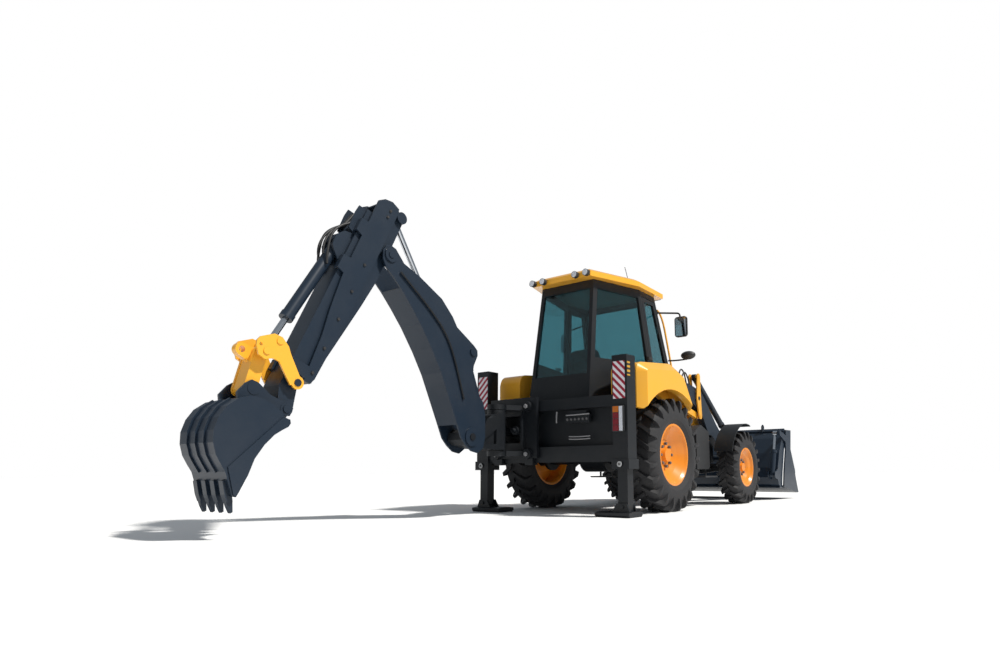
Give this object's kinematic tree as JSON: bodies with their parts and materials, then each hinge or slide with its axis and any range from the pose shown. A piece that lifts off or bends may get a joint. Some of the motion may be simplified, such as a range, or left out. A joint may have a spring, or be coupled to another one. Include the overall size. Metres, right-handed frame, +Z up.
{
  "type": "backhoe loader",
  "caption": "Backhoe loader: cab and wheels on a frame, a loader with a clam bucket in front, a side-shifting backhoe with a telescopic dipper and stabiliser legs behind.",
  "frame": {"origin": "on the floor under the middle of the machine's length and width", "axes": "+X forward to the loader bucket, +Y to the driver's left, +Z up"},
  "size_m": [9.736, 2.4, 3.2259],
  "materials": {
    "dark_paint": "satin",
    "cab_paint": "satin",
    "yellow_paint": "gloss",
    "tyre": "matte",
    "chrome": "polished",
    "glass": "gloss",
    "seat_cloth": "matte",
    "black_plastic": "matte",
    "lamp": "gloss",
    "cast_iron": "matte"
  },
  "bodies": {
    "machine": {"chassis_frame": "dark_paint", "rear_frame": "dark_paint", "rear_axle": "cast_iron", "front_axle": "cast_iron", "engine_block": "cast_iron", "side_tanks": "black_plastic", "cab_frame": "cab_paint", "cab_glass": "glass", "cab_roof": "yellow_paint", "rear_fenders": "yellow_paint", "seat": "seat_cloth", "steering_column": "black_plastic", "mirrors": "black_plastic", "lamps": "lamp"},
    "hood_body": {"hood": "yellow_paint", "front_grille": "black_plastic", "headlamps": "lamp"},
    "door_left_body": {"door_left": "cab_paint", "door_glass_left": "glass"},
    "door_right_body": {"door_right": "cab_paint", "door_glass_right": "glass"},
    "stabiliser_left": {"stabiliser_leg_left": "dark_paint"},
    "stabiliser_right": {"stabiliser_leg_right": "dark_paint"},
    "rear_wheel_left": {"rear_tyre_left": "tyre", "rear_rim_left": "yellow_paint"},
    "rear_wheel_right": {"rear_tyre_right": "tyre", "rear_rim_right": "yellow_paint"},
    "knuckle_left": {"front_knuckle_left": "dark_paint"},
    "knuckle_right": {"front_knuckle_right": "dark_paint"},
    "front_wheel_left": {"front_tyre_left": "tyre", "front_rim_left": "yellow_paint"},
    "front_wheel_right": {"front_tyre_right": "tyre", "front_rim_right": "yellow_paint"},
    "carriage_body": {"carriage": "dark_paint"},
    "kingpost_body": {"kingpost": "dark_paint"},
    "boom_body": {"boom": "dark_paint"},
    "boom_barrel": {"boom_ram_barrel": "dark_paint"},
    "boom_rod": {"boom_ram_rod": "chrome"},
    "dipper_body": {"dipper": "dark_paint"},
    "dipper_barrel": {"dipper_ram_barrel": "dark_paint"},
    "dipper_rod": {"dipper_ram_rod": "chrome"},
    "extension_body": {"dipper_extension": "dark_paint"},
    "bucket_barrel": {"bucket_ram_barrel": "dark_paint"},
    "bucket_rod": {"bucket_ram_rod": "chrome"},
    "side_link_body": {"side_links": "yellow_paint"},
    "tipping_link_body": {"tipping_link": "yellow_paint"},
    "hoe_bucket_body": {"hoe_bucket": "dark_paint"},
    "arms_body": {"loader_arms": "dark_paint"},
    "levers_body": {"loader_levers": "yellow_paint"},
    "parallel_link_body": {"parallel_links": "yellow_paint"},
    "lift_barrels": {"lift_ram_barrel": "dark_paint"},
    "lift_rods": {"lift_ram_rod": "chrome"},
    "tilt_barrels": {"tilt_ram_barrel": "dark_paint"},
    "tilt_rods": {"tilt_ram_rod": "chrome"},
    "bucket_pin_body": {"bucket_pins": "chrome"},
    "loader_bucket_body": {"loader_bucket": "dark_paint"},
    "clam_body": {"bucket_clam": "dark_paint"},
    "clam_barrels": {"clam_ram_barrel": "dark_paint"},
    "clam_rods": {"clam_ram_rod": "chrome"}
  },
  "joints": [
    {"name": "hood_hinge", "type": "hinge", "parent": "machine", "child": "hood_body", "pos_m": [1.358, 0, 1.585], "axis": [0, -1, 0], "range_deg": [0, 45]},
    {"name": "door_left_hinge", "type": "hinge", "parent": "machine", "child": "door_left_body", "pos_m": [1.138, 0.72, 1.2], "axis": [0.2471, 0.0801, -0.9657], "range_deg": [0, 60]},
    {"name": "door_right_hinge", "type": "hinge", "parent": "machine", "child": "door_right_body", "pos_m": [1.138, -0.72, 1.2], "axis": [-0.2471, 0.0801, 0.9657], "range_deg": [0, 60]},
    {"name": "stabiliser_left_lift", "type": "slide", "parent": "machine", "child": "stabiliser_left", "axis": [0, 0, 1], "range_m": [0, 0.37]},
    {"name": "stabiliser_right_lift", "type": "slide", "parent": "machine", "child": "stabiliser_right", "axis": [0, 0, 1], "range_m": [0, 0.37]},
    {"name": "rear_wheel_left_spin", "type": "hinge", "parent": "machine", "child": "rear_wheel_left", "pos_m": [0.128, 0.952, 0.7], "axis": [0, 1, 0], "continuous": true},
    {"name": "rear_wheel_right_spin", "type": "hinge", "parent": "machine", "child": "rear_wheel_right", "pos_m": [0.128, -0.952, 0.7], "axis": [0, 1, 0], "continuous": true},
    {"name": "steer_left", "type": "hinge", "parent": "machine", "child": "knuckle_left", "pos_m": [2.528, 0.862, 0.55], "axis": [0, 0, 1], "range_deg": [-25, 25]},
    {"name": "steer_right", "type": "hinge", "parent": "machine", "child": "knuckle_right", "pos_m": [2.528, -0.862, 0.55], "axis": [0, 0, 1], "range_deg": [-25.5, 25.5]},
    {"name": "front_wheel_left_spin", "type": "hinge", "parent": "knuckle_left", "child": "front_wheel_left", "pos_m": [2.528, 1.004, 0.55], "axis": [0, 1, 0], "continuous": true},
    {"name": "front_wheel_right_spin", "type": "hinge", "parent": "knuckle_right", "child": "front_wheel_right", "pos_m": [2.528, -1.004, 0.55], "axis": [0, 1, 0], "continuous": true},
    {"name": "carriage_shift", "type": "slide", "parent": "machine", "child": "carriage_body", "axis": [0, -1, 0], "range_m": [0, 0.982]},
    {"name": "boom_swing", "type": "hinge", "parent": "carriage_body", "child": "kingpost_body", "pos_m": [-1.372, 0.491, 1], "axis": [0, 0, 1], "range_deg": [-85, 85]},
    {"name": "boom_lower", "type": "hinge", "parent": "kingpost_body", "child": "boom_body", "pos_m": [-1.958, 0.491, 0.892], "axis": [0, -1, 0], "range_deg": [0, 65]},
    {"name": "boom_barrel_turn", "type": "hinge", "parent": "kingpost_body", "child": "boom_barrel", "pos_m": [-1.632, 0.491, 1.05], "axis": [0, -1, 0], "range_deg": [0, 59.98]},
    {"name": "boom_rod_slide", "type": "slide", "parent": "boom_barrel", "child": "boom_rod", "axis": [-0.3644, 0, 0.9312], "range_m": [0, 0.3985]},
    {"name": "dipper_out", "type": "hinge", "parent": "boom_body", "child": "dipper_body", "pos_m": [-3.141, 0.491, 2.67], "axis": [0, 1, 0], "range_deg": [0, 75]},
    {"name": "dipper_barrel_turn", "type": "hinge", "parent": "boom_body", "child": "dipper_barrel", "pos_m": [-2.037, 0.491, 1.59], "axis": [0, -1, 0], "range_deg": [-5.74, 0]},
    {"name": "dipper_rod_slide", "type": "slide", "parent": "dipper_barrel", "child": "dipper_rod", "axis": [-0.5288, 0, 0.8488], "range_m": [-0.5882, 0]},
    {"name": "dipper_extend", "type": "slide", "parent": "dipper_body", "child": "extension_body", "axis": [-0.4202, 0, -0.9074], "range_m": [0, 1.1]},
    {"name": "hoe_bucket_curl", "type": "hinge", "parent": "extension_body", "child": "hoe_bucket_body", "pos_m": [-4.19734, 0.491, 1.0411], "axis": [0, -1, 0], "range_deg": [-20, 80]},
    {"name": "side_link_turn", "type": "hinge", "parent": "extension_body", "child": "side_link_body", "pos_m": [-4.11923, 0.491, 1.27162], "axis": [0, -1, 0], "range_deg": [-18.89, 70.62]},
    {"name": "tipping_link_turn", "type": "hinge", "parent": "side_link_body", "child": "tipping_link_body", "pos_m": [-4.408, 0.491, 1.507], "axis": [0, -1, 0], "range_deg": [-49.55, 13.62]},
    {"name": "bucket_barrel_turn", "type": "hinge", "parent": "extension_body", "child": "bucket_barrel", "pos_m": [-3.68821, 0.491, 2.62588], "axis": [0, -1, 0], "range_deg": [-3.69, 2.16]},
    {"name": "bucket_rod_slide", "type": "slide", "parent": "bucket_barrel", "child": "bucket_rod", "axis": [-0.5113, 0, -0.8594], "range_m": [-0.1283, 0.4531]},
    {"name": "arms_lift", "type": "hinge", "parent": "machine", "child": "arms_body", "pos_m": [1.258, 0, 1.765], "axis": [0, -1, 0], "range_deg": [0, 50]},
    {"name": "levers_turn", "type": "hinge", "parent": "arms_body", "child": "levers_body", "pos_m": [2.028, 0, 1.6], "axis": [0, -1, 0], "range_deg": [-51, 0]},
    {"name": "parallel_link_turn", "type": "hinge", "parent": "machine", "child": "parallel_link_body", "pos_m": [1.303, 0, 1.495], "axis": [0, -1, 0], "range_deg": [0, 51]},
    {"name": "lift_barrels_turn", "type": "hinge", "parent": "machine", "child": "lift_barrels", "pos_m": [1.458, 0, 0.56], "axis": [0, -1, 0], "range_deg": [0, 30.78]},
    {"name": "lift_rods_slide", "type": "slide", "parent": "lift_barrels", "child": "lift_rods", "axis": [0.8688, 0, 0.4952], "range_m": [0, 0.9223]},
    {"name": "bucket_level_turn", "type": "hinge", "parent": "arms_body", "child": "bucket_pin_body", "pos_m": [3.728, 0, 0.43], "axis": [0, -1, 0], "range_deg": [-51, 0]},
    {"name": "tilt_barrels_turn", "type": "hinge", "parent": "levers_body", "child": "tilt_barrels", "pos_m": [2.043, 0, 1.935], "axis": [0, -1, 0], "range_deg": [0, 51]},
    {"name": "tilt_rods_slide", "type": "slide", "parent": "tilt_barrels", "child": "tilt_rods", "axis": [0.8238, 0, -0.5669], "range_m": [-0.1294, 0.2662]},
    {"name": "loader_bucket_dump", "type": "hinge", "parent": "bucket_pin_body", "child": "loader_bucket_body", "pos_m": [3.728, 0, 0.43], "axis": [0, 1, 0], "range_deg": [-20, 45]},
    {"name": "clam_open", "type": "hinge", "parent": "loader_bucket_body", "child": "clam_body", "pos_m": [4.359, 0, 0.987], "axis": [0, -1, 0], "range_deg": [0, 35]},
    {"name": "clam_barrels_turn", "type": "hinge", "parent": "loader_bucket_body", "child": "clam_barrels", "pos_m": [3.748, 0, 0.42], "axis": [0, -1, 0], "range_deg": [-6.28, 0]},
    {"name": "clam_rods_slide", "type": "slide", "parent": "clam_barrels", "child": "clam_rods", "axis": [0.3202, 0, 0.9473], "range_m": [-0.2542, 0]}
  ],
  "couplings": [
    {"joint": "steer_right", "follows": "steer_left", "ratio": 1},
    {"joint": "boom_barrel_turn", "follows": "boom_lower", "ratio": 0.89746},
    {"joint": "boom_rod_slide", "follows": "boom_lower", "m_per_rad": 0.33368},
    {"joint": "dipper_barrel_turn", "follows": "dipper_out", "ratio": -0.05455},
    {"joint": "dipper_rod_slide", "follows": "dipper_out", "m_per_rad": -0.43409},
    {"joint": "side_link_turn", "follows": "hoe_bucket_curl", "ratio": 0.86219},
    {"joint": "tipping_link_turn", "follows": "hoe_bucket_curl", "ratio": -0.5988},
    {"joint": "bucket_barrel_turn", "follows": "hoe_bucket_curl", "ratio": -0.02558},
    {"joint": "bucket_rod_slide", "follows": "hoe_bucket_curl", "m_per_rad": 0.31017},
    {"joint": "levers_turn", "follows": "arms_lift", "ratio": -1},
    {"joint": "parallel_link_turn", "follows": "arms_lift", "ratio": 1},
    {"joint": "lift_barrels_turn", "follows": "arms_lift", "ratio": 0.58266},
    {"joint": "lift_rods_slide", "follows": "arms_lift", "m_per_rad": 1.0339},
    {"joint": "bucket_level_turn", "follows": "arms_lift", "ratio": -1},
    {"joint": "tilt_barrels_turn", "follows": "arms_lift", "ratio": 1},
    {"joint": "tilt_rods_slide", "follows": "loader_bucket_dump", "m_per_rad": 0.31342},
    {"joint": "clam_barrels_turn", "follows": "clam_open", "ratio": -0.13239},
    {"joint": "clam_rods_slide", "follows": "clam_open", "m_per_rad": -0.38331}
  ]
}
